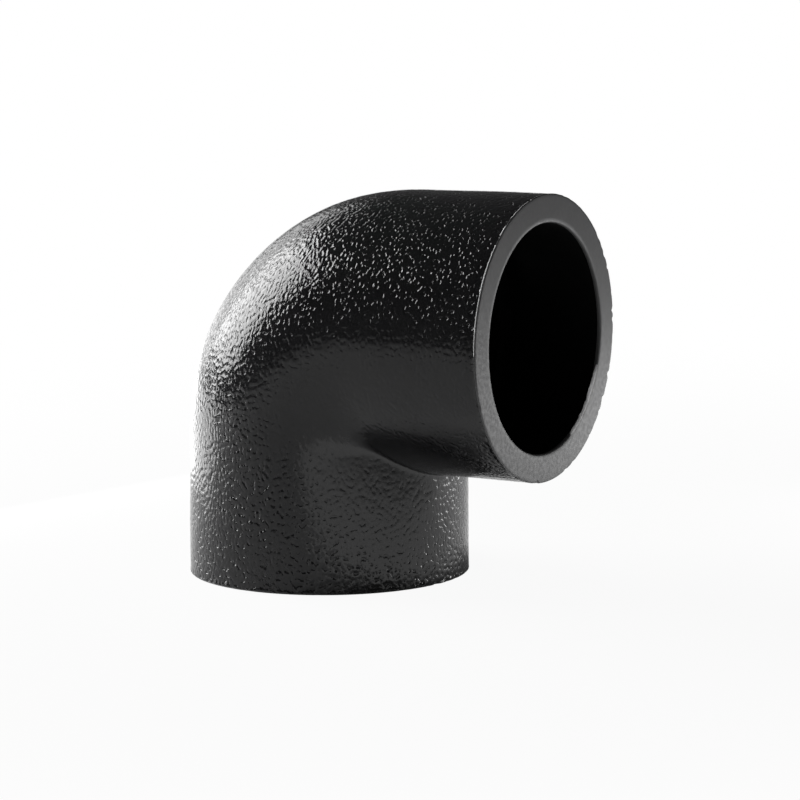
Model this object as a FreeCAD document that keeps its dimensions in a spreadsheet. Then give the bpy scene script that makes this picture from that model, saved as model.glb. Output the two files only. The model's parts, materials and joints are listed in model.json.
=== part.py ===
import FreeCAD, Part

import enum
import math
import os

import Sketcher

# Socket fusion elbow, 90 degrees, for 63 mm polyethylene pipe.
#
# The fitting is one injection moulding. Two equal sockets stand at right angles, each with a flat
# end face, a bored socket that the pipe is melted into, and a ledge that stops the pipe. A round
# waterway runs from ledge to ledge. Outside, the heel is a wide torus and the inside of the bend
# is a crisp crease, because the bend is tighter than the body's own radius.
#
# Frame: the origin is the middle of the lower mouth, +Z runs up the lower leg's axis, and the side
# leg's axis runs along +X at the height of the centre. The XZ plane halves the fitting.

DOCUMENT_NAME = "socket_fusion_elbow"
NODE = "elbow_body"

# Driving dimensions in millimetres, with what each one measures.
SIZES = [
    ("socket_diameter", 62.5, "bore of each socket, for pipe of 63 mm with its melt interference"),
    ("socket_depth", 28.0, "from the mouth to the ledge that stops the pipe"),
    ("socket_wall", 7.75, "wall around each socket"),
    ("ledge_width", 6.0, "how far the stop ledge stands in from the socket's wall"),
    ("laying_length", 41.0, "from the ledge to the crossing of the two axes"),
    ("bend_radius", 31.0, "radius of the body's middle line round the bend"),
    ("throat_radius", 6.0, "rounding of the waterway on the inside of its bend"),
    ("lead_in", 0.5, "chamfer at the mouth of each socket"),
    ("edge_break", 0.4, "chamfer on the outer edge of each mouth"),
]

# Sizes that follow from them, as expressions over the sheet.
SOCKET_RADIUS = "(sizes.socket_diameter / 2)"
BODY_RADIUS = "(sizes.socket_diameter / 2 + sizes.socket_wall)"
WATERWAY_RADIUS = "(sizes.socket_diameter / 2 - sizes.ledge_width)"
CENTRE_HEIGHT = "(sizes.socket_depth + sizes.laying_length)"
STRAIGHT_LENGTH = f"({CENTRE_HEIGHT} - sizes.bend_radius)"
WATERWAY_BEND = f"({WATERWAY_RADIUS} + sizes.throat_radius)"
WATERWAY_STRAIGHT = f"({CENTRE_HEIGHT} - {WATERWAY_BEND})"

BEND_ANGLE = 90.0
MITRE_ANGLE = BEND_ANGLE / 2
MATCH_TOLERANCE = 1e-3


class Axis(enum.IntEnum):
    """The sketch's own axes. The origin is the start point of the horizontal one."""

    HORIZONTAL = -1
    VERTICAL = -2


class Place(enum.IntEnum):
    """The named points of a line, an arc or a circle in a sketch."""

    START = 1
    END = 2
    CENTRE = 3


ORIGIN = (Axis.HORIZONTAL, Place.START)


def make_sheet(document):
    """Write the driving dimensions into a sheet, one row each, with a word for each value."""
    sheet = document.addObject("Spreadsheet::Sheet", "sizes")
    for row, (word, value, note) in enumerate(SIZES, start=1):
        sheet.set(f"A{row}", word)
        sheet.set(f"B{row}", str(value))
        sheet.setAlias(f"B{row}", word)
        sheet.set(f"C{row}", note)
    document.recompute()
    return sheet


def origin_plane(body, role):
    """Find one of the body's own origin planes, such as XY_Plane."""
    for feature in body.Origin.OriginFeatures:
        if feature.Role == role:
            return feature
    raise ValueError(f"{body.Label} has no {role}")


def bind(item, expressions):
    """Tie properties of a document object to the sheet."""
    for name, expression in expressions.items():
        item.setExpression(name, expression)


def make_sketch(body, name, role, offsets=None):
    """Attach an empty sketch to an origin plane, moved by offsets in the plane's own directions."""
    sketch = body.newObject("Sketcher::SketchObject", name)
    sketch.AttachmentSupport = [(origin_plane(body, role), "")]
    sketch.MapMode = "FlatFace"
    for direction, expression in (offsets or {}).items():
        sketch.setExpression(f"AttachmentOffset.Base.{direction}", expression)
    return sketch


def size_constraint(sketch, name, constraint, expression):
    """Add a constraint whose value comes from the sheet."""
    index = sketch.addConstraint(constraint)
    sketch.renameConstraint(index, name)
    sketch.setExpression(f"Constraints.{name}", expression)


def centred_circle(sketch, radius_name, expression):
    """Draw a full circle about the sketch's origin."""
    start_radius = 10.0
    circle = Part.Circle(FreeCAD.Vector(0, 0, 0), FreeCAD.Vector(0, 0, 1), start_radius)
    ring = sketch.addGeometry(circle, False)
    sketch.addConstraint(Sketcher.Constraint("Coincident", ring, Place.CENTRE, *ORIGIN))
    radius = Sketcher.Constraint("Radius", ring, start_radius)
    size_constraint(sketch, radius_name, radius, expression)


def make_mitre_plane(body):
    """Place the plane that the two legs mirror in, through the crossing of their axes."""
    plane = body.newObject("PartDesign::Plane", "mitre_plane")
    plane.AttachmentSupport = [(origin_plane(body, "YZ_Plane"), "")]
    plane.MapMode = "FlatFace"
    tilt = FreeCAD.Rotation(FreeCAD.Vector(1, 0, 0), -MITRE_ANGLE)
    plane.AttachmentOffset = FreeCAD.Placement(FreeCAD.Vector(0, 0, 0), tilt)
    plane.setExpression("AttachmentOffset.Base.y", CENTRE_HEIGHT)
    return plane


def mirror_in(body, name, original, plane):
    """Repeat a feature of the lower leg on the side leg."""
    mirrored = body.newObject("PartDesign::Mirrored", name)
    mirrored.Originals = [original]
    mirrored.MirrorPlane = (plane, [""])
    body.Tip = mirrored
    body.Document.recompute()
    return mirrored


def make_lower_leg(body):
    """Pad the round lower leg from its mouth up to where the bend starts."""
    outline = make_sketch(body, "leg_outline", "XY_Plane")
    centred_circle(outline, "body_radius", BODY_RADIUS)
    leg = body.newObject("PartDesign::Pad", "lower_leg")
    leg.Profile = outline
    bind(leg, {"Length": STRAIGHT_LENGTH})
    body.Document.recompute()
    return leg


def make_bend(body):
    """Turn the leg's section round the bend's axis.

    The section is the leg's circle, cut off at the bend's axis where it would pass it. The sketch
    has its origin on that axis, so the cut edge lies on its vertical axis. The round stretch is
    drawn in four arcs that meet at the heel and at the two flanks.
    """
    offsets = {"x": "sizes.bend_radius", "z": STRAIGHT_LENGTH}
    section = make_sketch(body, "bend_section", "XY_Plane", offsets)
    start_radius = 39.0
    start_bend = 31.0
    quarter = math.pi / 2
    cut = math.acos(-start_bend / start_radius)
    middle = FreeCAD.Vector(-start_bend, 0, 0)

    def on_circle(turn):
        """Find the point at an angle from the heel, round the section."""
        return middle + FreeCAD.Vector(-math.cos(turn), math.sin(turn), 0) * start_radius

    turns = (-cut, -quarter, 0.0, quarter, cut)
    arcs = []
    for first, last in zip(turns, turns[1:]):
        arc = Part.Arc(on_circle(first), on_circle((first + last) / 2), on_circle(last))
        arcs.append(section.addGeometry(arc, False))
    chord = section.addGeometry(Part.LineSegment(on_circle(cut), on_circle(-cut)), False)

    def end_of(arc, turn):
        """Tell which end of an arc is nearest to an angle from the heel."""
        target = on_circle(turn)
        gaps = {
            end: section.getPoint(arc, end).distanceToPoint(target)
            for end in (Place.START, Place.END)
        }
        return min(gaps, key=gaps.get)

    for before, after, turn in zip(arcs, arcs[1:], turns[1:]):
        joint = (before, end_of(before, turn), after, end_of(after, turn))
        section.addConstraint(Sketcher.Constraint("Coincident", *joint))
        centres = (before, Place.CENTRE, after, Place.CENTRE)
        section.addConstraint(Sketcher.Constraint("Coincident", *centres))
    for arc, turn, end in ((arcs[-1], cut, Place.START), (arcs[0], -cut, Place.END)):
        section.addConstraint(Sketcher.Constraint("Coincident", arc, end_of(arc, turn), chord, end))
        section.addConstraint(Sketcher.Constraint("PointOnObject", chord, end, Axis.VERTICAL))
    for arc, point in ((arcs[1], end_of(arcs[1], 0.0)), (arcs[0], Place.CENTRE)):
        section.addConstraint(Sketcher.Constraint("PointOnObject", arc, point, Axis.HORIZONTAL))
    for arc, turn in ((arcs[0], -quarter), (arcs[-1], quarter)):
        flank = (arc, Place.CENTRE, arc, end_of(arc, turn))
        section.addConstraint(Sketcher.Constraint("Vertical", *flank))
    radius = Sketcher.Constraint("Radius", arcs[0], start_radius)
    size_constraint(section, "body_radius", radius, BODY_RADIUS)
    distance = Sketcher.Constraint("DistanceX", arcs[0], Place.CENTRE, *ORIGIN, start_bend)
    size_constraint(section, "bend_radius", distance, "sizes.bend_radius")
    bend = body.newObject("PartDesign::Revolution", "bend")
    bend.Profile = section
    bend.ReferenceAxis = (section, ["V_Axis"])
    bend.Angle = BEND_ANGLE
    body.Document.recompute()
    return bend


def make_waterway(body):
    """Sweep the waterway's circle along both axes, round a bend that keeps its throat open."""
    section = make_sketch(body, "waterway_section", "XY_Plane")
    centred_circle(section, "waterway_radius", WATERWAY_RADIUS)
    path = make_sketch(body, "waterway_path", "XZ_Plane")
    start_straight = 38.0
    start_bend = 31.0
    centre_height = start_straight + start_bend
    foot = FreeCAD.Vector(0, 0, 0)
    bend_start = FreeCAD.Vector(0, start_straight, 0)
    half_turn = math.radians(MITRE_ANGLE)
    halfway = FreeCAD.Vector(1 - math.cos(half_turn), math.sin(half_turn), 0)
    bend_middle = bend_start + halfway * start_bend
    bend_end = FreeCAD.Vector(start_bend, centre_height, 0)
    mouth = FreeCAD.Vector(centre_height, centre_height, 0)
    riser = path.addGeometry(Part.LineSegment(foot, bend_start), False)
    turn = path.addGeometry(Part.Arc(bend_start, bend_middle, bend_end), False)
    outlet = path.addGeometry(Part.LineSegment(bend_end, mouth), False)
    turn_ends = sorted((Place.START, Place.END), key=lambda end: path.getPoint(turn, end).x)
    path.addConstraint(Sketcher.Constraint("Coincident", riser, Place.START, *ORIGIN))
    path.addConstraint(Sketcher.Constraint("Vertical", riser))
    path.addConstraint(Sketcher.Constraint("Horizontal", outlet))
    path.addConstraint(Sketcher.Constraint("Tangent", riser, Place.END, turn, turn_ends[0]))
    path.addConstraint(Sketcher.Constraint("Tangent", turn, turn_ends[1], outlet, Place.START))
    riser_ends = (riser, Place.START, riser, Place.END)
    straight = Sketcher.Constraint("DistanceY", *riser_ends, start_straight)
    size_constraint(path, "waterway_straight", straight, WATERWAY_STRAIGHT)
    radius = Sketcher.Constraint("Radius", turn, start_bend)
    size_constraint(path, "waterway_bend", radius, WATERWAY_BEND)
    outlet_ends = (outlet, Place.START, outlet, Place.END)
    reach = Sketcher.Constraint("DistanceX", *outlet_ends, start_straight)
    size_constraint(path, "outlet_length", reach, WATERWAY_STRAIGHT)
    waterway = body.newObject("PartDesign::SubtractivePipe", "waterway")
    waterway.Profile = section
    waterway.Spine = (path, ["Edge1", "Edge2", "Edge3"])
    body.Document.recompute()
    return waterway


def make_lower_socket(body):
    """Bore the lower socket up to the ledge that stops the pipe."""
    outline = make_sketch(body, "socket_outline", "XY_Plane")
    centred_circle(outline, "socket_radius", SOCKET_RADIUS)
    socket = body.newObject("PartDesign::Pocket", "lower_socket")
    socket.Profile = outline
    socket.Reversed = True
    bind(socket, {"Length": "sizes.socket_depth"})
    body.Document.recompute()
    return socket


def mouth_edges(body, radius):
    """Name the full circles of one radius that lie in the planes of the two mouths."""
    names = []
    box = body.Shape.BoundBox
    for number, edge in enumerate(body.Shape.Edges, start=1):
        if edge.Length < MATCH_TOLERANCE or not isinstance(edge.Curve, Part.Circle):
            continue
        in_lower_mouth = abs(edge.BoundBox.ZMax - box.ZMin) < MATCH_TOLERANCE
        in_side_mouth = abs(edge.BoundBox.XMin - box.XMax) < MATCH_TOLERANCE
        if (in_lower_mouth or in_side_mouth) and abs(edge.Curve.Radius - radius) < MATCH_TOLERANCE:
            names.append(f"Edge{number}")
    return names


def chamfer_mouths(body, name, radius, size_word):
    """Chamfer both mouths' circles of one radius."""
    base = body.Tip
    edges = mouth_edges(body, radius)
    if not edges:
        raise RuntimeError(f"{name} found no circle of radius {radius}")
    chamfer = body.newObject("PartDesign::Chamfer", name)
    chamfer.Base = (base, edges)
    bind(chamfer, {"Size": f"sizes.{size_word}"})
    body.Tip = chamfer
    body.Document.recompute()
    return chamfer


def make_elbow(document):
    """Build the whole moulding: body first, then what its cores leave open, then its edges."""
    body = document.addObject("PartDesign::Body", NODE)
    body.Label = NODE
    body.Placement = FreeCAD.Placement()
    plane = make_mitre_plane(body)
    lower_leg = make_lower_leg(body)
    mirror_in(body, "side_leg", lower_leg, plane)
    make_bend(body)
    solid_volume = body.Shape.Volume
    make_waterway(body)
    bored_volume = body.Shape.Volume
    lower_socket = make_lower_socket(body)
    mirror_in(body, "side_socket", lower_socket, plane)
    socket_volume = body.Shape.Volume
    print("volumes:", round(solid_volume), round(bored_volume), round(socket_volume))
    if not solid_volume > bored_volume > socket_volume:
        raise RuntimeError("a core of the moulding cuts nothing")
    socket_radius = document.sizes.socket_diameter / 2
    body_radius = socket_radius + document.sizes.socket_wall
    chamfer_mouths(body, "socket_lead_in", socket_radius, "lead_in")
    chamfer_mouths(body, "outer_edge_break", body_radius, "edge_break")
    return body


def check_document(document, bodies):
    """Stop on a failed object or a broken solid, before anything is written."""
    for item in document.Objects:
        if "Invalid" in item.State or "Error" in item.State:
            raise RuntimeError(f"{item.Label} is {item.State}")
    for body in bodies:
        shape = body.Shape
        if shape.isNull() or not shape.isValid() or len(shape.Solids) != 1:
            raise RuntimeError(f"{body.Label} is not one valid solid")
        box = shape.BoundBox
        print(body.Label, "volume", round(shape.Volume), "faces", len(shape.Faces))
        print("  from", [round(value, 2) for value in (box.XMin, box.YMin, box.ZMin)])
        print("  to", [round(value, 2) for value in (box.XMax, box.YMax, box.ZMax)])


def write_parts(bodies):
    """Write one STEP file for each sub-part."""
    os.makedirs("parts", exist_ok=True)
    for body in bodies:
        body.Shape.exportStep(f"parts/{body.Label}.step")


def main():
    document = FreeCAD.newDocument(DOCUMENT_NAME)
    make_sheet(document)
    bodies = [make_elbow(document)]
    document.recompute()
    check_document(document, bodies)
    write_parts(bodies)


main()
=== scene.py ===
# %% [markdown]
# # A socket fusion elbow in black polyethylene
# The real fitting is one injection moulding. Two short sockets stand at a right angle and share one
# bend, the skin carries a leather grain from the mould, and the two ring faces are smooth.
# The CAD solid could be dressed with a material alone. Its facets are coarse for a surface that is all
# reflections, though, and its skin is perfectly even, so this lesson builds a fine skin over it.

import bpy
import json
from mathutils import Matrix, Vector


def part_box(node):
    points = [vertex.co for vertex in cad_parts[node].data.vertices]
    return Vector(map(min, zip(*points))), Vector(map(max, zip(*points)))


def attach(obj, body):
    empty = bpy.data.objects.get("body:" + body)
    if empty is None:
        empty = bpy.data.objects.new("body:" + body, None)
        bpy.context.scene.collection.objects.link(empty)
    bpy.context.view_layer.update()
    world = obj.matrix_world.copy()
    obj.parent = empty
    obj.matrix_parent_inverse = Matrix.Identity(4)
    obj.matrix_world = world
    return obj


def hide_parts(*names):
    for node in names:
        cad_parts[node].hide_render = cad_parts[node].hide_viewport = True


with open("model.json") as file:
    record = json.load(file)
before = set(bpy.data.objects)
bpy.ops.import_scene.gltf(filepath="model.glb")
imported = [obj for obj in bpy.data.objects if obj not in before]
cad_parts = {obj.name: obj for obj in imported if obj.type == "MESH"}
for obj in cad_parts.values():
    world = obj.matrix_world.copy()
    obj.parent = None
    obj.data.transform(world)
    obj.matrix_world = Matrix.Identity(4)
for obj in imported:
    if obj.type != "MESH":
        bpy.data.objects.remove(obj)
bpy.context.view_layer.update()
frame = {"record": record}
body_low, body_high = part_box("elbow_body")
print("CAD box from", tuple(body_low), "to", tuple(body_high))

# %% [markdown]
# ## Sizes
# Every size comes from the CAD part: from its box, from the mounts in its record, or as a repeated
# value where neither says it. So the skin lies on the solid with no fitting by eye.

# %% Take the sizes of the elbow
import json
import math
import random

import bmesh
import bpy
from mathutils import Vector, noise

MILLIMETRE = 0.001
mounts = {mount["name"]: mount for mount in frame["record"]["mounts"]}
CENTRE_TO_MOUTH = mounts["side_socket"]["pos_m"][0]
BORE_RADIUS = mounts["side_socket"]["dims"]["r_mm"] * MILLIMETRE
BODY_RADIUS = body_high[1]
BEND_RADIUS = 31.0 * MILLIMETRE
SOCKET_DEPTH = 28.0 * MILLIMETRE
WATERWAY_RADIUS = 25.25 * MILLIMETRE
WATERWAY_BEND = 31.25 * MILLIMETRE
print("body radius", BODY_RADIUS, "bore radius", BORE_RADIUS, "centre to mouth", CENTRE_TO_MOUTH)

# %% [markdown]
# ## The camera
# The photograph was taken with a long lens from slightly above, about thirty degrees round from the
# fitting's side. A long lens keeps the two mouths nearly the same size. The place below was found by
# laying the model's edges over the photograph's, so the picture's frame needs no shift.

# %% Place the camera
CAMERA_TURN = math.radians(30.596)
CAMERA_RISE = math.radians(8.709)
CAMERA_ROLL = math.radians(-0.428)
CAMERA_DISTANCE = 1.046
CAMERA_TARGET = Vector((0.02323, 0.0, 0.04912))
SENSOR_WIDTH_MM = 36.0
LENS_MM = 171.0
NEAREST_SEEN = 0.05

camera_data = bpy.data.cameras.new("camera")
camera_data.sensor_width = SENSOR_WIDTH_MM
camera_data.lens = LENS_MM
camera_data.clip_start = NEAREST_SEEN
camera = bpy.data.objects.new("camera", camera_data)
bpy.context.collection.objects.link(camera)
towards_camera = Vector((
    math.sin(CAMERA_TURN) * math.cos(CAMERA_RISE),
    -math.cos(CAMERA_TURN) * math.cos(CAMERA_RISE),
    math.sin(CAMERA_RISE),
))
camera.location = CAMERA_TARGET + towards_camera * CAMERA_DISTANCE
camera.rotation_euler = (-towards_camera).to_track_quat("-Z", "Y").to_euler()
camera.rotation_euler.rotate_axis("Z", CAMERA_ROLL)
bpy.context.scene.camera = camera
print("camera at", tuple(round(value, 4) for value in camera.location))

# %% [markdown]
# ## How the skin runs round the bend
# Imagine the fitting drawn with long lines, each from the lower mouth to the side mouth. A line goes
# straight up, turns a quarter and goes straight out. A line on the heel turns wide. A line on the
# inside would need a turn tighter than nothing, because the body is wider than its bend: there the
# two straight legs simply meet, in the crisp crease that the fitting shows.
# A bevelled boolean of two cylinders and a torus would give the same form, with poor facets at the
# crease. Points along such lines are evenly spaced everywhere, so this way was chosen.

# %% Follow one line round the bend
CREASE_RADIUS = 0.8 * MILLIMETRE
CREASE_BLEND = 2.0 * MILLIMETRE


def soft_max(first, second, blend):
    """The larger of two lengths, with a smooth change where they are nearly equal."""
    nearness = max(blend - abs(first - second), 0.0) / blend
    return max(first, second) + nearness * nearness * blend / 4


def turn_of(side, bend_radius, tightest):
    """The straight length before the turn, and the turn's radius, of a line at an offset."""
    turn = soft_max(bend_radius - side, tightest, CREASE_BLEND)
    return CENTRE_TO_MOUTH - side - turn, turn


def point_on_line(side, across, straight, turn, distance):
    """The point at a distance along a line, and the angle that the line has turned there."""
    quarter = turn * math.pi / 2
    if distance <= straight:
        return Vector((side, across, distance)), 0.0
    if distance >= straight + quarter:
        run = distance - straight - quarter
        return Vector((side + turn + run, across, CENTRE_TO_MOUTH - side)), math.pi / 2
    turned = (distance - straight) / turn
    x = side + turn * (1 - math.cos(turned))
    return Vector((x, across, straight + turn * math.sin(turned))), turned


heel_straight, heel_turn = turn_of(-BODY_RADIUS, BEND_RADIUS, CREASE_RADIUS)
print("heel line: straight", round(heel_straight, 4), "turn radius", round(heel_turn, 4))

# %% [markdown]
# ## A soft unevenness in the moulding
# A thick moulding sinks a little as it cools, and its etched mould isn't flat either, so the satin
# skin shows a quiet, uneven sheen. The deeper strokes of the grain are finer than a sensible mesh can
# hold, and come later as relief in the material. The slow lumps between them are real geometry here.
# The outer side of each leg has also sunk half a millimetre at its waist, where the wall stayed hot
# longest. Lumps and waist only ever go inwards, so the skin never leaves the CAD solid's box.

# %% Work out the lumps
LUMP_DEPTH = 0.07 * MILLIMETRE
LUMP_PITCH = 2.6 * MILLIMETRE
SINK_DEPTH = 0.05 * MILLIMETRE
SINK_PITCH = 17.0 * MILLIMETRE
SINK_SHIFT = Vector((7.0, 3.0, 5.0))
WAIST_DEPTH = 0.5 * MILLIMETRE
WAIST_MIDDLE = 40.0 * MILLIMETRE
WAIST_REACH = 30.0 * MILLIMETRE
WAIST_SPREAD = 1.5
HEEL_MIDDLE = Vector((-0.018, 0.0, 0.087))


def smooth_share(value):
    """A share from 0 to 1 that starts and ends gently."""
    value = min(max(value, 0.0), 1.0)
    return value * value * (3 - 2 * value)


def waist_depth(angle, from_mouth):
    """How far the outer side of a leg has sunk, halfway along the thick moulding."""
    outer_side = smooth_share(-WAIST_SPREAD * math.cos(angle))
    halfway = smooth_share(1 - abs(from_mouth - WAIST_MIDDLE) / WAIST_REACH)
    return WAIST_DEPTH * outer_side * halfway


def lump_depth(point):
    """How far the skin lies below the perfect form at a point."""
    lump = 0.5 + 0.5 * noise.noise(point / LUMP_PITCH)
    sink = 0.5 + 0.5 * noise.noise(point / SINK_PITCH + SINK_SHIFT)
    return LUMP_DEPTH * lump + SINK_DEPTH * sink


print("lump at the heel's middle", round(lump_depth(HEEL_MIDDLE) / MILLIMETRE, 4), "mm")

# %% [markdown]
# ## The outer skin
# Lines lie side by side all round the body, and each is divided into steps as long as the lines are
# far apart. Heel lines are long and have many steps, lines at the crease have few, so neighbours
# don't match point for point. They are closed like a zip: the next triangle always takes the shorter
# of the two gaps. Close to a mouth the skin dips a little, so that the burr of the cut stands proud.

# %% Lay the lines of the skin
COLUMNS = 432
STEP = 0.68 * MILLIMETRE
EDGE_DEPTH = 0.9 * MILLIMETRE
EDGE_BLEND = 2.5 * MILLIMETRE
EDGE_DIP = 0.18 * MILLIMETRE
EDGE_LUMPS_LOST = 0.5
BURR_MIDDLES = {"lower": math.radians(150), "side": math.radians(228)}
BURR_REACH = math.radians(62)
BURR_FADE = math.radians(25)
BURR_LEAST = 0.2
BURR_RAGGED_SCALE = 7
BURR_RAGGED_MIDDLE = 0.8
BURR_RAGGED_SPAN = 0.4
CREASE_STEPS = 6
CREASE_FADE = 2.0 * MILLIMETRE
points = []
faces = []
# Each face has a finish, which is also the number of its material on the piece.
finishes = []
# The bore's finish carries painted shade, and the scraped finish is pale partly from scraping and
# partly as a painted highlight.
SKIN, RING, BORE, SCRAPED_HIGHLIT = 0, 1, 2, 3


def angle_between(first, second):
    """The smaller angle between two directions round a leg."""
    return abs((first - second + math.pi) % (2 * math.pi) - math.pi)


def round_mouth(mouth, angle):
    """A place on a unit circle to take noise from. The name's length keeps the two mouths apart."""
    return Vector((math.cos(angle), math.sin(angle), len(mouth)))


def burr_share(mouth, angle):
    """How far the burr stands up at an angle round a mouth: most on one side, where the cut ended."""
    apart = angle_between(angle, BURR_MIDDLES[mouth])
    place = round_mouth(mouth, angle) * BURR_RAGGED_SCALE
    ragged = BURR_RAGGED_MIDDLE + BURR_RAGGED_SPAN * noise.noise(place)
    high = smooth_share((BURR_REACH - apart) / BURR_FADE)
    return (BURR_LEAST + (1 - BURR_LEAST) * high) * ragged


def steps_along(straight, turn):
    """Distances along one line: even on the straights, and never too coarse in the turn."""
    run = straight - EDGE_DEPTH
    quarter = turn * math.pi / 2
    run_steps = round(run / STEP)
    turn_steps = max(CREASE_STEPS, round(quarter / STEP))
    first = [EDGE_DEPTH + run * index / run_steps for index in range(run_steps)]
    middle = [straight + quarter * index / turn_steps for index in range(turn_steps)]
    end = straight + quarter
    last = [end + run * index / run_steps for index in range(run_steps + 1)]
    return first + middle + last


def skin_point(angle, straight, turn, distance, length):
    """A point of the grained skin, let in by the lumps."""
    side, across = BODY_RADIUS * math.cos(angle), BODY_RADIUS * math.sin(angle)
    place, turned = point_on_line(side, across, straight, turn, distance)
    outwards = Vector((
        math.cos(angle) * math.cos(turned),
        math.sin(angle),
        -math.cos(angle) * math.sin(turned),
    ))
    from_mouth = min(distance, length - distance)
    from_crease = abs(distance - length / 2) if turn < CREASE_BLEND else CREASE_FADE
    crease_fade = smooth_share(from_crease / CREASE_FADE)
    near_mouth = 1 - smooth_share((from_mouth - EDGE_DEPTH) / EDGE_BLEND)
    lumps = lump_depth(place) * crease_fade * (1 - EDGE_LUMPS_LOST * near_mouth)
    mouth = "lower" if distance < length / 2 else "side"
    dip = EDGE_DIP * near_mouth * burr_share(mouth, angle) if near_mouth > 0 else 0.0
    return place - outwards * (lumps + dip + waist_depth(angle, from_mouth))


skin_columns = []
for column in range(COLUMNS):
    angle = 2 * math.pi * column / COLUMNS
    straight, turn = turn_of(BODY_RADIUS * math.cos(angle), BEND_RADIUS, CREASE_RADIUS)
    length = 2 * straight + turn * math.pi / 2
    indices = []
    for distance in steps_along(straight, turn):
        indices.append(len(points))
        points.append(skin_point(angle, straight, turn, distance, length))
    skin_columns.append(indices)
print("skin points", len(points), "from", len(skin_columns), "lines")

# %% Close the lines into a skin


def gap(first, second):
    """The squared distance between two points of the mesh."""
    return (points[first] - points[second]).length_squared


def zip_lines(left, right, finish):
    """Closes the strip between two lines with triangles, the shorter gap first."""
    a = b = 0
    while a < len(left) - 1 or b < len(right) - 1:
        left_ends = a == len(left) - 1
        right_ends = b == len(right) - 1
        take_left = not left_ends and (
            right_ends or gap(left[a + 1], right[b]) < gap(left[a], right[b + 1])
        )
        if take_left:
            faces.append((left[a], left[a + 1], right[b]))
            a += 1
        else:
            faces.append((left[a], right[b + 1], right[b]))
            b += 1
        finishes.append(finish)


for column, indices in enumerate(skin_columns):
    zip_lines(indices, skin_columns[(column + 1) % COLUMNS], SKIN)
print("skin triangles", len(faces))

# %% [markdown]
# ## The mouths
# Each mouth is cut square, which leaves a flat ring with a fine burr round the skin's edge. The burr
# is higher on one side, where the cut ended, and its flank is scraped pale there, with a painted
# highlight for the bright line that edge catches. Small nicks show where the knife tore the grain,
# mostly on one side too. The ring's inner edge is broken by a narrow lead-in, and along one stretch
# of the side mouth a torn lip hangs into it, pale from the tear and with a painted highlight as well.
# A bevel modifier would make every edge perfectly even. Rings of points with a little seeded
# unevenness keep the cut look, and the outline stays inside the solid's.

# %% Describe one mouth
INNER_COLUMNS = COLUMNS // 2
MOUTHS = ("lower", "side")
BURR_FLANK_DEPTH = 0.36
BURR_HIGHLIT_FROM = 0.7
RING_EDGE_DEPTH = 0.3
# Each row has its depth below the ring face, its inset from the body's radius, and a further inset
# where the burr is high, all in millimetres. The insets under the burr make it stand out.
BURR_ROWS = (
    (0.84, 0.00, 0.20),
    (0.66, 0.00, 0.18),
    (0.36, 0.00, 0.01),
    (0.26, 0.00, 0.00),
    (0.13, 0.03, 0.00),
    (0.04, 0.12, 0.00),
    (0.00, 0.30, 0.00),
)


def mouth_point(mouth, angle, radius, depth):
    """A point of a mouth: at a radius from its axis and a depth below its ring face."""
    side, across = radius * math.cos(angle), radius * math.sin(angle)
    if mouth == "lower":
        return Vector((side, across, depth))
    return Vector((CENTRE_TO_MOUTH - depth, across, CENTRE_TO_MOUTH - side))


def add_ring(mouth, count, radius_at, depth_at):
    """Adds a closed row of points, with a radius and a depth for each angle."""
    row = []
    for index in range(count):
        angle = 2 * math.pi * index / count
        row.append(len(points))
        points.append(mouth_point(mouth, angle, radius_at(angle), depth_at(angle)))
    return row


def bridge(first, second, finish):
    """Joins two closed rows with four-sided faces."""
    count = len(first)
    for index in range(count):
        following = (index + 1) % count
        faces.append((first[index], first[following], second[following], second[index]))
        finishes.append(finish)


def halve(fine, coarse, finish):
    """Joins a closed row to one with half as many points."""
    count = len(coarse)
    for index in range(count):
        following = (index + 1) % count
        left, middle, right = fine[2 * index], fine[2 * index + 1], fine[(2 * index + 2) % len(fine)]
        faces.append((left, middle, coarse[index]))
        faces.append((middle, coarse[following], coarse[index]))
        faces.append((middle, right, coarse[following]))
        finishes.extend((finish, finish, finish))


print("rows at a mouth's outer edge", len(BURR_ROWS))

# %% Nick the edges
NICKS = 70
NICK_DEPTHS = (0.1, 0.85)
NICK_WIDTHS = (0.6, 1.9)
NICKED_SIDE = math.radians(48)
NICKED_SPREAD = 0.3
LEAST_NICKED = 0.3
NICK_SEED = 63
MOSTLY_SHALLOW = 3
edge_random = random.Random(NICK_SEED)


def make_nicks():
    """Seeded nicks round one edge, most of them shallow: angle, half width and depth in metres."""
    nicks = []
    for _ in range(NICKS):
        angle = edge_random.uniform(0, 2 * math.pi)
        width = edge_random.uniform(*NICK_WIDTHS) * MILLIMETRE
        shallow, deep = NICK_DEPTHS
        depth = (shallow + (deep - shallow) * edge_random.random() ** MOSTLY_SHALLOW) * MILLIMETRE
        on_nicked_side = smooth_share(NICKED_SPREAD + math.cos(angle - NICKED_SIDE))
        depth *= max(LEAST_NICKED, on_nicked_side)
        nicks.append((angle, width, depth))
    return nicks


def nick_at(nicks, angle):
    """How deep the edge is nicked at an angle."""
    deepest = 0.0
    for middle, width, depth in nicks:
        apart = angle_between(angle, middle) * BODY_RADIUS
        deepest = max(deepest, depth * smooth_share(1 - apart / width))
    return deepest


edge_nicks = {mouth: make_nicks() for mouth in MOUTHS}
print("nicks", {mouth: len(nicks) for mouth, nicks in edge_nicks.items()})

# %% Build the outer edge and the ring face
RING_INSETS = (0.9, 1.9)
RING_RADII = (36.0, 34.3, 32.7)
TORN_MIDDLE = math.radians(48)
TORN_HALF = math.radians(23)
TORN_FADE = math.radians(5)
LIP_REACHES = (0.25, 1.25)
LIP_COARSE_SCALE = 6
LIP_COARSE = 0.8
LIP_FINE_SCALE = 21
LIP_FINE = 0.5
LIP_PALE_DEPTH = 0.35
LIP_PALE_FROM = 0.3
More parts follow.
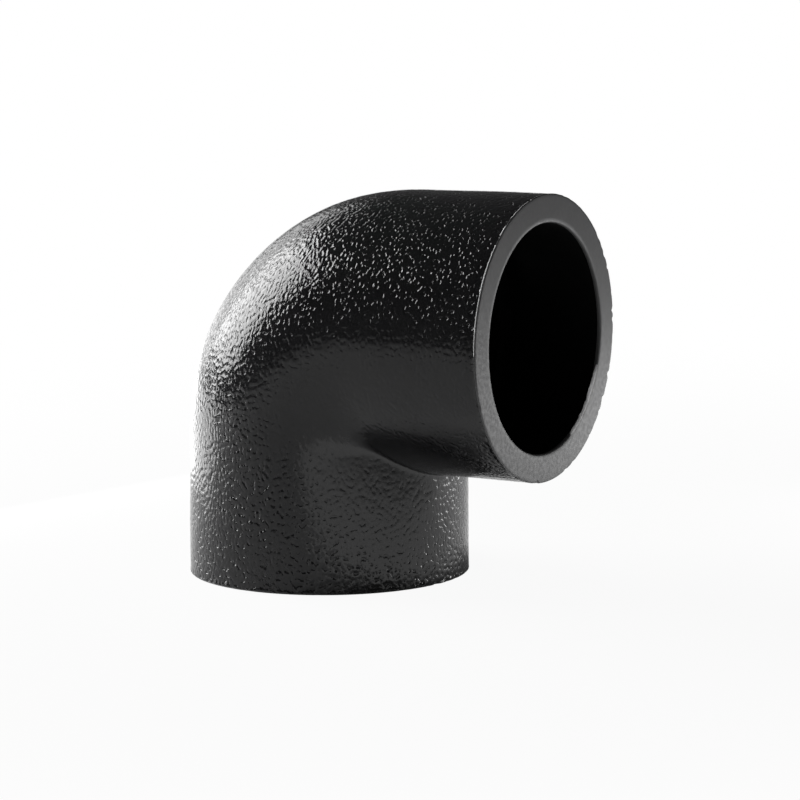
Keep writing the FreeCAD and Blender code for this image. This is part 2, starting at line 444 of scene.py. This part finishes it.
# Each row has its distance outwards from the bore and its depth below the ring face, both in
# millimetres, and the share of the torn lip's reach that it hangs in by.
LIP_ROWS = (
    (0.40, 0.00, 0.00),
    (0.24, 0.09, 0.35),
    (0.12, 0.22, 0.80),
    (0.05, 0.34, 1.00),
    (0.00, 0.50, 0.75),
    (0.00, 0.95, 0.00),
)


def torn_share(mouth, angle):
    """How much the lip is torn at an angle, which is only along one stretch of the side mouth."""
    if mouth == "lower":
        return 0.0
    return smooth_share((TORN_HALF - abs(angle - TORN_MIDDLE)) / TORN_FADE)


def lip_reach(mouth, angle):
    """How far the torn lip hangs into the mouth at an angle, in millimetres."""
    place = round_mouth(mouth, angle)
    coarse = LIP_COARSE * noise.noise(place * LIP_COARSE_SCALE)
    fine = LIP_FINE * noise.noise(place * LIP_FINE_SCALE)
    rough = min(max(0.5 + coarse + fine, 0.0), 1.0)
    least, most = LIP_REACHES
    return torn_share(mouth, angle) * (least + (most - least) * rough)


ring_starts = {}
lip_rows = {}
for mouth in MOUTHS:
    nicks = edge_nicks[mouth]
    previous = [column[0 if mouth == "lower" else -1] for column in skin_columns]
    for depth, inset, below_burr in BURR_ROWS:
        row = add_ring(
            mouth,
            COLUMNS,
            lambda angle: BODY_RADIUS
            - (inset + below_burr * burr_share(mouth, angle)) * MILLIMETRE
            - nick_at(nicks, angle),
            lambda angle: depth * MILLIMETRE,
        )
        first_face = len(finishes)
        bridge(previous, row, RING if depth < RING_EDGE_DEPTH else SKIN)
        # The highest stretch of the burr's flank takes the pale finish, which is partly a painted
        # highlight.
        for index in range(COLUMNS if depth == BURR_FLANK_DEPTH else 0):
            if burr_share(mouth, 2 * math.pi * (index + 0.5) / COLUMNS) > BURR_HIGHLIT_FROM:
                finishes[first_face + index] = SCRAPED_HIGHLIT
        previous = row
    for inset in RING_INSETS:
        row = add_ring(
            mouth, COLUMNS, lambda angle: BODY_RADIUS - inset * MILLIMETRE, lambda angle: 0.0
        )
        bridge(previous, row, RING)
        previous = row
    ring_starts[mouth] = previous
print("points with the ring edges", len(points))

# %% Narrow to the lead-in and its torn lip
for mouth in MOUTHS:
    previous = ring_starts[mouth]
    for position, radius in enumerate(RING_RADII):
        row = add_ring(
            mouth, INNER_COLUMNS, lambda angle: radius * MILLIMETRE, lambda angle: 0.0
        )
        if position == 0:
            halve(previous, row, RING)
        else:
            bridge(previous, row, RING)
        previous = row
    for outwards, depth, share in LIP_ROWS:
        row = add_ring(
            mouth,
            INNER_COLUMNS,
            lambda angle: BORE_RADIUS + (outwards - share * lip_reach(mouth, angle)) * MILLIMETRE,
            lambda angle: depth * MILLIMETRE,
        )
        first_face = len(finishes)
        bridge(previous, row, RING)
        # The torn lip's rows take the pale finish, which is partly a painted highlight.
        for index in range(INNER_COLUMNS):
            angle = 2 * math.pi * (index + 0.5) / INNER_COLUMNS
            if 0 < depth < LIP_PALE_DEPTH and torn_share(mouth, angle) > LIP_PALE_FROM:
                finishes[first_face + index] = SCRAPED_HIGHLIT
        previous = row
    lip_rows[mouth] = previous
print("points with the lead-ins", len(points))

# %% [markdown]
# ## Sockets and waterway
# Behind the mouth is the smooth socket that grips the pipe, then a flat ledge that stops it, then the
# narrower waterway that turns through the bend. All of it is one surface with the ring face, as in
# the moulding, so the piece is a closed solid and can be measured.

# %% Build the sockets
WATERWAY_COLUMNS = INNER_COLUMNS // 2
# The depths of the rows down the socket are in millimetres and end at the ledge.
SOCKET_DEPTHS = (2.0, 3.5, 7.0, 11.0, 16.0, 21.0, 25.0, 27.6, 28.0)
LEDGE_EDGE = 0.4 * MILLIMETRE
ledge_rows = {}
for mouth in MOUTHS:
    previous = lip_rows[mouth]
    for depth in SOCKET_DEPTHS:
        row = add_ring(
            mouth, INNER_COLUMNS, lambda angle: BORE_RADIUS, lambda angle: depth * MILLIMETRE
        )
        bridge(previous, row, BORE)
        previous = row
    row = add_ring(
        mouth,
        INNER_COLUMNS,
        lambda angle: BORE_RADIUS - LEDGE_EDGE,
        lambda angle: SOCKET_DEPTH,
    )
    bridge(previous, row, BORE)
    ledge = add_ring(
        mouth,
        WATERWAY_COLUMNS,
        lambda angle: WATERWAY_RADIUS + LEDGE_EDGE,
        lambda angle: SOCKET_DEPTH,
    )
    halve(row, ledge, BORE)
    ledge_rows[mouth] = ledge
print("points with the sockets", len(points))

# %% Build the waterway
WATERWAY_RUNS = 4
WATERWAY_TURNS = 28


def waterway_row(run_share, turn_share):
    """One closed row of the waterway, by shares of the first straight, the turn and beyond."""
    row = []
    for index in range(WATERWAY_COLUMNS):
        angle = 2 * math.pi * index / WATERWAY_COLUMNS
        side, across = WATERWAY_RADIUS * math.cos(angle), WATERWAY_RADIUS * math.sin(angle)
        turn = WATERWAY_BEND - side
        straight = CENTRE_TO_MOUTH - WATERWAY_BEND
        quarter = turn * math.pi / 2
        run = (straight - SOCKET_DEPTH) * run_share
        distance = SOCKET_DEPTH + run + quarter * turn_share
        row.append(len(points))
        points.append(point_on_line(side, across, straight, turn, distance)[0])
    return row


shares = [(index / WATERWAY_RUNS, 0.0) for index in range(WATERWAY_RUNS)]
shares += [(1.0, index / WATERWAY_TURNS) for index in range(WATERWAY_TURNS)]
shares += [(1 + index / WATERWAY_RUNS, 1.0) for index in range(WATERWAY_RUNS + 1)]
previous = ledge_rows["lower"]
for run_share, turn_share in shares:
    row = waterway_row(run_share, turn_share)
    bridge(previous, row, BORE)
    previous = row
bridge(previous, ledge_rows["side"], BORE)
print("points in all", len(points), "faces in all", len(faces))

# %% [markdown]
# ## One closed mesh
# The lists become one mesh. The faces are turned outwards together, and the piece's open edges and
# volume are counted and printed: a solid has no open edge. Edges are smooth except where the moulding
# has a real corner.

# %% Make the elbow piece
SHARP_ANGLE = math.radians(38)
elbow_mesh = bpy.data.meshes.new("elbow_skin")
elbow_mesh.from_pydata(points, [], faces)
elbow_mesh.polygons.foreach_set("material_index", finishes)
elbow = bpy.data.objects.new("elbow_skin", elbow_mesh)
bpy.context.collection.objects.link(elbow)

shape = bmesh.new()
shape.from_mesh(elbow_mesh)
bmesh.ops.recalc_face_normals(shape, faces=shape.faces)
if shape.calc_volume(signed=True) < 0:
    bmesh.ops.reverse_faces(shape, faces=shape.faces)
open_edges = sum(1 for edge in shape.edges if not edge.is_manifold)
volume = shape.calc_volume(signed=True)
triangles = sum(len(face.verts) - 2 for face in shape.faces)
shape.to_mesh(elbow_mesh)
shape.free()
elbow_mesh.polygons.foreach_set("use_smooth", [True] * len(elbow_mesh.polygons))
elbow_mesh.set_sharp_from_angle(angle=SHARP_ANGLE)
elbow_mesh.update()
print("triangles", triangles, "open edges", open_edges, "volume cm3", round(volume * 1e6, 2))

# %% [markdown]
# ## Helpers for materials
# Node materials could be wired by hand in the shader editor, but a script has to name every link.
# Small helpers keep that short: a node with its settings and inputs, a sum on numbers or vectors, a
# smooth step between two values, cloudy noise, a ramp between two greys, and coordinates in
# millimetres, so that every scale below is a real one.

# %% Write the node helpers


def add_node(tree, kind, settings=None, inputs=None):
    """Adds a node, with its settings and with its inputs as values or as links."""
    made = tree.nodes.new(kind)
    for name, value in (settings or {}).items():
        setattr(made, name, value)
    for key, value in (inputs or {}).items():
        socket = made.inputs[key]
        if isinstance(value, bpy.types.NodeSocket):
            tree.links.new(value, socket)
        else:
            socket.default_value = value
    return made


def number(tree, operation, *values):
    """A sum on numbers or on sockets that carry one."""
    inputs = dict(enumerate(values))
    return add_node(tree, "ShaderNodeMath", {"operation": operation}, inputs).outputs[0]


def vector(tree, operation, *values):
    """A sum on vectors. Operations with one number as result give that number."""
    made = add_node(tree, "ShaderNodeVectorMath", {"operation": operation}, dict(enumerate(values)))
    return made.outputs["Value" if operation in ("DOT_PRODUCT", "LENGTH", "DISTANCE") else 0]


def spread(tree, value, low, high, to_low=0.0, to_high=1.0):
    """Maps a range smoothly onto another one, and stops at its ends."""
    settings = {"interpolation_type": "SMOOTHSTEP", "clamp": True}
    inputs = {
        "Value": value,
        "From Min": low,
        "From Max": high,
        "To Min": to_low,
        "To Max": to_high,
    }
    return add_node(tree, "ShaderNodeMapRange", settings, inputs).outputs[0]


def cloudiness(tree, place, scale, detail):
    """Cloudy noise round one half, with as many clouds to a millimetre as the scale says."""
    inputs = {"Vector": place, "Scale": scale, "Detail": detail}
    return add_node(tree, "ShaderNodeTexNoise", {}, inputs).outputs[0]


def two_greys(tree, share, low, high, dark, light):
    """A colour that goes from a dark grey to a light one as the share goes from low to high."""
    made = add_node(tree, "ShaderNodeValToRGB", {}, {"Fac": share})
    first, last = made.color_ramp.elements
    first.position, last.position = low, high
    first.color, last.color = (*dark, 1), (*light, 1)
    return made.outputs[0]


def lay_relief(tree, shader, height, depth):
    """Gives a shader a relief of the given depth in metres."""
    inputs = {"Height": height, "Distance": depth, "Strength": 1.0}
    relief = add_node(tree, "ShaderNodeBump", {}, inputs).outputs[0]
    tree.links.new(relief, shader.inputs["Normal"])


def new_material(name):
    """A material with its shader and nothing else wired yet."""
    made = bpy.data.materials.new(name)
    made.use_nodes = True
    return made, made.node_tree, made.node_tree.nodes["Principled BSDF"]


def in_millimetres(tree):
    """The piece's own coordinates, in millimetres."""
    inputs = {0: add_node(tree, "ShaderNodeTexCoord").outputs["Object"], "Scale": 1 / MILLIMETRE}
    return add_node(tree, "ShaderNodeVectorMath", {"operation": "SCALE"}, inputs).outputs[0]


print("helpers are ready")

# %% [markdown]
# ## The leather grain
# The mould's grain is a field of short grooves, each two or three millimetres long, which lie every
# way and keep about two millimetres apart. Plain noise gives round pits, cells with a stroke in each
# look like confetti, and a leather picture isn't allowed. So short bursts of waves in every direction
# are laid over each other: their lowest troughs are the grooves, and what is left of the waves is a
# soft swell between them. Some noise makes the edges of the grooves ragged. The pattern is a little
# taller than wide, and three places where the mould was worn show it fainter.

# %% Draw the grooves
WAVES_IN_A_PATCH = 1.8
GROOVE_SPACING = 1.35
GROOVE_LEVELS = (0.45, 0.28)
SWELL_SHARE = 2.6
UPRIGHT_STRETCH = (1.0, 1.0, 0.68)
RAGGED_SCALE = 1.6
RAGGED_DETAIL = 1.0
RAGGED_SHARE = 0.4
PATCH_EDGE = (0.6, 1.4)
# Each worn place has its middle and reach in millimetres, and the share of the grain left in it.
WORN_PLACES = (
    ((38.0, -46.0, 54.0), (50.0, 30.0, 26.0), 0.3),
    ((33.0, -22.0, 27.0), (26.0, 28.0, 20.0), 0.35),
    ((46.0, -16.0, 100.0), (36.0, 36.0, 24.0), 0.87),
)


def groove_field(tree, place, spacing, shallow, deep):
    """The depth of the grooves, which are the lowest troughs of short waves, and of the swell."""
    waves = add_node(
        tree,
        "ShaderNodeTexGabor",
        {"gabor_type": "3D"},
        {
            "Vector": place,
            "Scale": 1.0 / (spacing * WAVES_IN_A_PATCH),
            "Frequency": WAVES_IN_A_PATCH,
            "Anisotropy": 0.0,
        },
    )
    ragged = cloudiness(tree, place, RAGGED_SCALE, RAGGED_DETAIL)
    level = number(tree, "MULTIPLY_ADD", ragged, RAGGED_SHARE, waves.outputs["Value"])
    grooves = spread(tree, level, shallow + RAGGED_SHARE / 2, deep + RAGGED_SHARE / 2)
    return number(tree, "MULTIPLY_ADD", level, -SWELL_SHARE, grooves)


def grain(tree):
    """The coordinates in millimetres, and the depth of the grain there."""
    place = in_millimetres(tree)
    upright = vector(tree, "MULTIPLY", place, UPRIGHT_STRETCH)
    grooves = groove_field(tree, upright, GROOVE_SPACING, *GROOVE_LEVELS)
    for middle, reach, share in WORN_PLACES:
        from_middle = vector(tree, "SUBTRACT", place, middle)
        outwards = vector(tree, "LENGTH", vector(tree, "DIVIDE", from_middle, reach))
        grooves = number(tree, "MULTIPLY", grooves, spread(tree, outwards, *PATCH_EDGE, share, 1.0))
    return place, grooves


print("the grain's waves are", GROOVE_SPACING, "mm apart, fainter in", len(WORN_PLACES), "places")

# %% [markdown]
# ## The skin's material
# Black polyethylene with carbon black is a deep, nearly neutral black with a satin skin. Its colour
# varies very little. What the eye reads is the sheen: broad on the open skin, duller in the grooves.
# A plain dark colour would look like rubber, so a slow cloudiness changes the grey a little, and a
# fine one changes the roughness and roughens the relief.

# %% Make the grained skin
RELIEF_DEPTH = 0.085 * MILLIMETRE
DEEP_BLACK = (0.0105, 0.0105, 0.0115)
WORN_BLACK = (0.0145, 0.0145, 0.0155)
# Each noise has its scale and detail, and the range of it that is used.
SLOW_CLOUD = (0.09, 3.0)
SLOW_CLOUD_RANGE = (0.35, 0.65)
FINE_CLOUD = (1.3, 2.0)
FINE_CLOUD_RANGE = (0.3, 0.7)
FINE_RELIEF_SHARE = 0.12
OPEN_ROUGHNESS = (0.2, 0.25)
GROOVE_ROUGHNESS = 0.1
PLASTIC_IOR = 1.5
PLASTIC_MIRROR = 0.5


def make_skin():
    """The satin black skin with its leather grain."""
    made, tree, shader = new_material("grained_black_polyethylene")
    place, strokes = grain(tree)
    cloud = cloudiness(tree, place, *SLOW_CLOUD)
    fine = cloudiness(tree, place, *FINE_CLOUD)
    colour = two_greys(tree, cloud, *SLOW_CLOUD_RANGE, DEEP_BLACK, WORN_BLACK)
    tree.links.new(colour, shader.inputs["Base Color"])
    sheen = spread(tree, fine, *FINE_CLOUD_RANGE, *OPEN_ROUGHNESS)
    roughness = number(tree, "MULTIPLY_ADD", strokes, GROOVE_ROUGHNESS, sheen)
    tree.links.new(roughness, shader.inputs["Roughness"])
    shader.inputs["IOR"].default_value = PLASTIC_IOR
    shader.inputs["Specular IOR Level"].default_value = PLASTIC_MIRROR
    sunk = number(tree, "MULTIPLY", strokes, -1.0)
    lay_relief(tree, shader, number(tree, "MULTIPLY_ADD", fine, FINE_RELIEF_SHARE, sunk), RELIEF_DEPTH)
    return made


skin_material = make_skin()
print("made", skin_material.name)

# %% [markdown]
# ## The smooth faces
# The ring faces are cut or moulded smooth. They have no grain, so they mirror their surroundings more
# evenly and look greyer, with a trace of the cutter. The bore is as smooth, but lies in the dark, and
# its grey is painted shade: far darker than the skin's black, and it mirrors little, so the socket
# stays black. Where the knife scraped the burr and tore the lip, the plastic is stretched thin and
# shows pale, and its light grey is also a painted highlight for the bright line these edges catch.
# The three differ in their greys, their dullness and the depth of their marks, so one function makes
# them all.

# %% Make the ring, the painted-shade bore and the scraped lip with its painted highlight
SMOOTH_CLOUD = (0.12, 4.0)
TOOL_MARKS = (0.9, 3.0)
SMOOTH_RANGE = (0.3, 0.7)
DULLNESS_SPREAD = 0.04
FINE_MARKS = 0.02 * MILLIMETRE
TORN_MARKS = 0.1 * MILLIMETRE
# The bore mirrors little, as part of its painted shade.
BORE_SHADE_MIRROR = 0.1
# Each finish has its dark and light grey, its dullness, the depth of its marks, and how strongly it
# mirrors. They come in the order of the finishes: the ring, the bore with its painted shade, and the
# scraped lip, whose pale grey is partly a painted highlight.
SMOOTH_FINISHES = {
    "smooth_ring_face": (
        (0.104, 0.104, 0.106), (0.118, 0.118, 0.12), 0.5, FINE_MARKS, PLASTIC_MIRROR
    ),
    # Painted shade: the bore's greys are far darker than the skin's black, for the deep socket where
    # little light goes.
    "painted_shade_socket_wall": (
        (0.002, 0.002, 0.0022), (0.003, 0.003, 0.0033), 0.5, FINE_MARKS, BORE_SHADE_MIRROR
    ),
    # Pale partly from scraping and partly as a painted highlight for the bright edge line.
    "scraped_highlit_lip": (
        (0.65, 0.65, 0.65), (0.9, 0.9, 0.9), 0.45, TORN_MARKS, PLASTIC_MIRROR
    ),
}


def make_smooth(name, dark, light, dull, mark_depth, mirror):
    """A smooth finish with a slight cloudiness and a trace of the tool."""
    made, tree, shader = new_material(name)
    place = in_millimetres(tree)
    cloud = cloudiness(tree, place, *SMOOTH_CLOUD)
    marks = cloudiness(tree, place, *TOOL_MARKS)
    colour = two_greys(tree, cloud, *SMOOTH_RANGE, dark, light)
    tree.links.new(colour, shader.inputs["Base Color"])
    sheen = spread(tree, marks, *SMOOTH_RANGE, dull - DULLNESS_SPREAD, dull + DULLNESS_SPREAD)
    tree.links.new(sheen, shader.inputs["Roughness"])
    shader.inputs["IOR"].default_value = PLASTIC_IOR
    shader.inputs["Specular IOR Level"].default_value = mirror
    lay_relief(tree, shader, marks, mark_depth)
    return made


elbow_mesh.materials.append(skin_material)
for finish_name, finish_values in SMOOTH_FINISHES.items():
    elbow_mesh.materials.append(make_smooth(finish_name, *finish_values))
print("materials on the piece", [material.name for material in elbow_mesh.materials])

# %% [markdown]
# ## Bind the piece to the frame
# The fitting is one piece, so the skin stands for the whole CAD solid, which stays behind it for
# collision, and it is carried by the only body there is.

# %% Place it in the frame
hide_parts("elbow_body")
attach(elbow, "root")
print("elbow_skin rides on the root body")

# %% [markdown]
# ## The studio
# The photograph is a product shot on white: the floor runs out into a white background. A large soft
# window stands on the left and wraps the heel, and a weaker one behind it lights the left edge. Two
# low cards stand by the floor: the left one lights the foot, the right one the ring face. Nothing
# hangs overhead, so the top stays dark. A picture of a studio laid round the scene could light it
# too, but plain rectangles can be moved one at a time.
# The floor is pale and takes a faint shadow. To the camera it adds its own white, which lights
# nothing. Reflections see that white as well, more or less of it by the place on the floor, as they
# see the cards and dark cloths round a real set.

# %% Lay the floor
FLOOR_RINGS = (0.15, 0.4, 1.0, 2.5, 6.0)
FLOOR_SIDES = 64
floor_points = [Vector((CAMERA_TARGET.x, 0, 0))]
floor_faces = []
for radius in FLOOR_RINGS:
    for side in range(FLOOR_SIDES):
        angle = 2 * math.pi * side / FLOOR_SIDES
        floor_points.append(
            Vector((CAMERA_TARGET.x + radius * math.cos(angle), radius * math.sin(angle), 0))
        )
for side in range(FLOOR_SIDES):
    following = (side + 1) % FLOOR_SIDES
    floor_faces.append((0, 1 + side, 1 + following))
    for ring in range(len(FLOOR_RINGS) - 1):
        inner, outer = 1 + ring * FLOOR_SIDES, 1 + (ring + 1) * FLOOR_SIDES
        floor_faces.append((inner + side, outer + side, outer + following, inner + following))
floor_mesh = bpy.data.meshes.new("floor")
floor_mesh.from_pydata(floor_points, [], floor_faces)
floor = bpy.data.objects.new("floor", floor_mesh)
bpy.context.collection.objects.link(floor)
print("floor reaches", FLOOR_RINGS[-1], "m")

# %% Say where reflections see the floor's own white
FLOOR_GLOSS_SHARE = 0.05
LEFT_BY_X = (0.05, -0.06)
BEHIND_BY_Y = (-0.12, 0.06)
RIGHT_BY_X = (0.035, 0.06)
RIGHT_BY_REACH = (1.5, 0.3)
RIGHT_FADE_BY_X = (0.27, 0.12)
RIGHT_FAR_SHARE = 0.15
BEHIND_RIGHT_BY_Y = (0.08, 0.2)
FRONT_SHARE = 0.6
FRONT_BY_REACH = (0.3, 0.1)
FOOT_BY_REACH = (0.04, 0.06)
FRONT_SLANT = 0.5
FRONT_BY_SLANT = (-0.02, 0.045)
FRONT_LEFT_SHARE = 0.2


def combine(tree, operation, first, *others):
    """One number out of several, by the same sum on each in turn."""
    for value in others:
        first = number(tree, operation, first, value)
    return first


def mirrored_white(tree, place, reach):
    """The share of the floor's own white that reflections see, by the place on it in metres."""
    split = add_node(tree, "ShaderNodeSeparateXYZ", {}, {0: place}).outputs
    behind_left = combine(
        tree,
        "MULTIPLY",
        spread(tree, split["X"], *LEFT_BY_X),
        spread(tree, split["Y"], *BEHIND_BY_Y),
    )
    right = combine(
        tree,
        "MULTIPLY",
        spread(tree, split["X"], *RIGHT_BY_X),
        spread(tree, reach, *RIGHT_BY_REACH),
        combine(
            tree,
            "MAXIMUM",
            spread(tree, split["X"], *RIGHT_FADE_BY_X, RIGHT_FAR_SHARE, 1.0),
            spread(tree, split["Y"], *BEHIND_RIGHT_BY_Y),
        ),
    )
    slanted = number(tree, "MULTIPLY_ADD", split["Y"], FRONT_SLANT, split["X"])
    front = combine(
        tree,
        "MULTIPLY",
        spread(tree, reach, *FRONT_BY_REACH),
        FRONT_SHARE,
        spread(tree, reach, *FOOT_BY_REACH),
        spread(tree, slanted, *FRONT_BY_SLANT, FRONT_LEFT_SHARE, 1.0),
    )
    return combine(tree, "MAXIMUM", behind_left, right, front, FLOOR_GLOSS_SHARE)


print("everywhere reflections see", FLOOR_GLOSS_SHARE, "of the floor's white or more")

# %% Give the floor its pale finish
FLOOR_PAINT = (0.88, 0.88, 0.88, 1)
WHITE = (1, 1, 1, 1)
FLOOR_OWN_WHITE = 0.94
OWN_WHITE_BY_REACH = (0.12, 0.5)


def make_floor_finish():
    """A pale matt floor that shows its own white to the camera."""
    made = bpy.data.materials.new("pale_floor")
    made.use_nodes = True
    tree = made.node_tree
    tree.nodes.clear()
    rays = add_node(tree, "ShaderNodeLightPath").outputs
    place = add_node(tree, "ShaderNodeTexCoord").outputs["Object"]
    reach = vector(tree, "DISTANCE", place, (CAMERA_TARGET.x, 0.0, 0.0))
    mirrored = number(tree, "MULTIPLY", rays["Is Glossy Ray"], mirrored_white(tree, place, reach))
    straight_rays = (rays["Is Camera Ray"], rays["Is Transmission Ray"])
    seen = combine(tree, "MAXIMUM", mirrored, *straight_rays)
    own_white = spread(tree, reach, *OWN_WHITE_BY_REACH, FLOOR_OWN_WHITE, 1.0)
    share = number(tree, "MULTIPLY", seen, own_white)
    painted = add_node(tree, "ShaderNodeBsdfDiffuse", {}, {"Color": FLOOR_PAINT}).outputs[0]
    white = add_node(tree, "ShaderNodeEmission", {}, {"Color": WHITE, "Strength": 1.0}).outputs[0]
    mixed = add_node(tree, "ShaderNodeMixShader", {}, {0: share, 1: painted, 2: white}).outputs[0]
    add_node(tree, "ShaderNodeOutputMaterial", {}, {"Surface": mixed})
    return made


floor_mesh.materials.append(make_floor_finish())
print("floor shows", FLOOR_OWN_WHITE, "of its own white to the camera")

# %% Light the world
WORLD_LEVEL = 0.055
HORIZON_LEVEL = 0.08
HORIZON_FADE = (0.0, 0.5)
world = bpy.data.worlds.new("studio")
bpy.context.scene.world = world
world.use_nodes = True
world_tree = world.node_tree
world_tree.nodes.clear()
rays = add_node(world_tree, "ShaderNodeLightPath").outputs
direction = add_node(world_tree, "ShaderNodeTexCoord").outputs["Generated"]
height = add_node(world_tree, "ShaderNodeSeparateXYZ", {}, {0: direction}).outputs["Z"]
room = spread(world_tree, height, *HORIZON_FADE, HORIZON_LEVEL, WORLD_LEVEL)
seen = number(world_tree, "MAXIMUM", rays["Is Camera Ray"], rays["Is Transmission Ray"])
level = number(world_tree, "MAXIMUM", room, seen)
backdrop = add_node(world_tree, "ShaderNodeBackground", {}, {"Color": WHITE, "Strength": level})
add_node(world_tree, "ShaderNodeOutputWorld", {}, {"Surface": backdrop.outputs[0]})
bpy.context.scene.view_settings.view_transform = "Standard"
print("world level", WORLD_LEVEL)

# %% Set the lamps
WATTS_TO_AREA = 4
# Each lamp has its turn and rise in degrees as seen from the elbow, its distance, width and height in
# metres, and its brightness.
LAMPS = {
    "left_window": (-177, 22.3, 0.85, 0.62, 0.56, 6.0),
    "left_back_window": (149, 14.5, 0.85, 0.42, 0.54, 1.2),
    "left_low_card": (168, -8, 0.17, 0.19, 0.04, 1.8),
    "right_low_card": (53, -8.4, 0.2, 0.11, 0.028, 6.0),
}


def soft_light(name, turn, rise, away, wide, high, brightness):
    """A rectangular soft light that looks at the elbow and has the same brightness at any size."""
    turn, rise = math.radians(turn), math.radians(rise)
    level = math.cos(rise)
    towards = Vector((math.cos(turn) * level, math.sin(turn) * level, math.sin(rise)))
    data = bpy.data.lights.new(name, "AREA")
    data.shape = "RECTANGLE"
    data.size, data.size_y = wide, high
    data.energy = brightness * WATTS_TO_AREA * wide * high
    lamp = bpy.data.objects.new(name, data)
    bpy.context.collection.objects.link(lamp)
    lamp.location = CAMERA_TARGET + towards * away
    lamp.rotation_euler = (CAMERA_TARGET - lamp.location).to_track_quat("-Z", "Y").to_euler()
    lamp.visible_camera = False


for lamp_name, lamp_values in LAMPS.items():
    soft_light(lamp_name, *lamp_values)
print("lamps", [light.name for light in bpy.data.lights])
